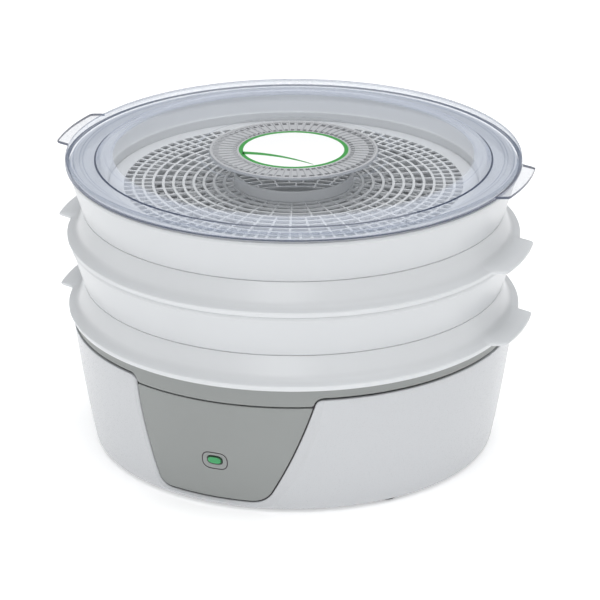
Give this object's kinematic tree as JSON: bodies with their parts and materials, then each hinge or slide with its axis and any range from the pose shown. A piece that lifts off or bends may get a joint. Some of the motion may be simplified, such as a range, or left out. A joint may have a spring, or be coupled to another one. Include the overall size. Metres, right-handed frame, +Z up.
{
  "type": "food dehydrator",
  "caption": "Round stacking food dehydrator: fan base with an indicator lamp, perforated trays that lift off, and a clear lid with a slotted vent cap.",
  "frame": {"origin": "on the floor, under the middle of the machine", "axes": "+Z up; -Y is the front, where the control panel is; +X is to the right seen from the front, along the lifting tabs"},
  "size_m": [0.358, 0.337, 0.2264],
  "materials": {
    "white_plastic": "satin moulded",
    "tray_plastic": "satin moulded",
    "grey_plastic": "fine matt moulded",
    "clear_plastic": "clear, polished",
    "frosted_plastic": "translucent, lightly frosted",
    "green_lens": "translucent, polished",
    "lamp_glass": "clear tinted",
    "black_rubber": "matt",
    "black_plastic": "matt moulded",
    "zinc_steel": "zinc plated",
    "cast_alloy": "as cast",
    "sintered_bronze": "sintered",
    "copper_wire": "enamelled",
    "mica_board": "pressed board"
  },
  "bodies": {
    "base": {"base_deck": "grey_plastic", "base_shell": "white_plastic", "bearing_bridge_lower": "cast_alloy", "bearing_bridge_upper": "cast_alloy", "bearing_lower": "sintered_bronze", "bearing_upper": "sintered_bronze", "bottom_cover": "white_plastic", "control_panel": "grey_plastic", "cord_gland": "black_plastic", "cover_screw_1": "zinc_steel", "cover_screw_2": "zinc_steel", "cover_screw_3": "zinc_steel", "cover_screw_4": "zinc_steel", "foot_1": "black_rubber", "foot_2": "black_rubber", "foot_3": "black_rubber", "foot_4": "black_rubber", "heat_shield": "zinc_steel", "heater_element": "copper_wire", "heater_frame": "mica_board", "indicator_lamp": "lamp_glass", "indicator_lens": "green_lens", "lamp_holder": "white_plastic", "motor_coil": "copper_wire", "motor_plate": "zinc_steel", "motor_screw_1": "zinc_steel", "motor_screw_2": "zinc_steel", "motor_stator": "zinc_steel", "outlet_grille": "grey_plastic", "plate_screw_1": "zinc_steel", "plate_screw_2": "zinc_steel", "plate_screw_3": "zinc_steel", "terminal_block": "white_plastic", "thermal_fuse": "cast_alloy", "thermostat": "cast_alloy"},
    "fan_rotor": {"fan_impeller": "black_plastic", "fan_nut": "zinc_steel", "motor_rotor": "zinc_steel", "motor_shaft": "zinc_steel"},
    "tray_1": {"tray_1": "tray_plastic", "tray_1_floor": "tray_plastic", "tray_1_collar": "tray_plastic"},
    "tray_2": {"tray_2": "tray_plastic", "tray_2_floor": "tray_plastic", "tray_2_collar": "tray_plastic"},
    "tray_3": {"tray_3": "tray_plastic", "tray_3_floor": "tray_plastic", "tray_3_collar": "tray_plastic"},
    "tray_4": {"tray_4": "tray_plastic", "tray_4_floor": "tray_plastic", "tray_4_collar": "tray_plastic"},
    "lid": {"lid": "clear_plastic", "lid_label": "white_plastic", "vent_cap": "frosted_plastic"}
  },
  "joints": [
    {"name": "fan_spin", "type": "hinge", "parent": "base", "child": "fan_rotor", "pos_m": [0, 0, 0.054], "axis": [0, 0, 1], "continuous": true},
    {"name": "tray_1_lift", "type": "slide", "parent": "base", "child": "tray_1", "axis": [0, 0, 1], "range_m": [0, 0.06]},
    {"name": "tray_2_lift", "type": "slide", "parent": "tray_1", "child": "tray_2", "axis": [0, 0, 1], "range_m": [0, 0.06]},
    {"name": "tray_3_lift", "type": "slide", "parent": "tray_2", "child": "tray_3", "axis": [0, 0, 1], "range_m": [0, 0.06]},
    {"name": "tray_4_lift", "type": "slide", "parent": "tray_3", "child": "tray_4", "axis": [0, 0, 1], "range_m": [0, 0.06]},
    {"name": "lid_lift", "type": "slide", "parent": "tray_4", "child": "lid", "axis": [0, 0, 1], "range_m": [0, 0.06]}
  ]
}
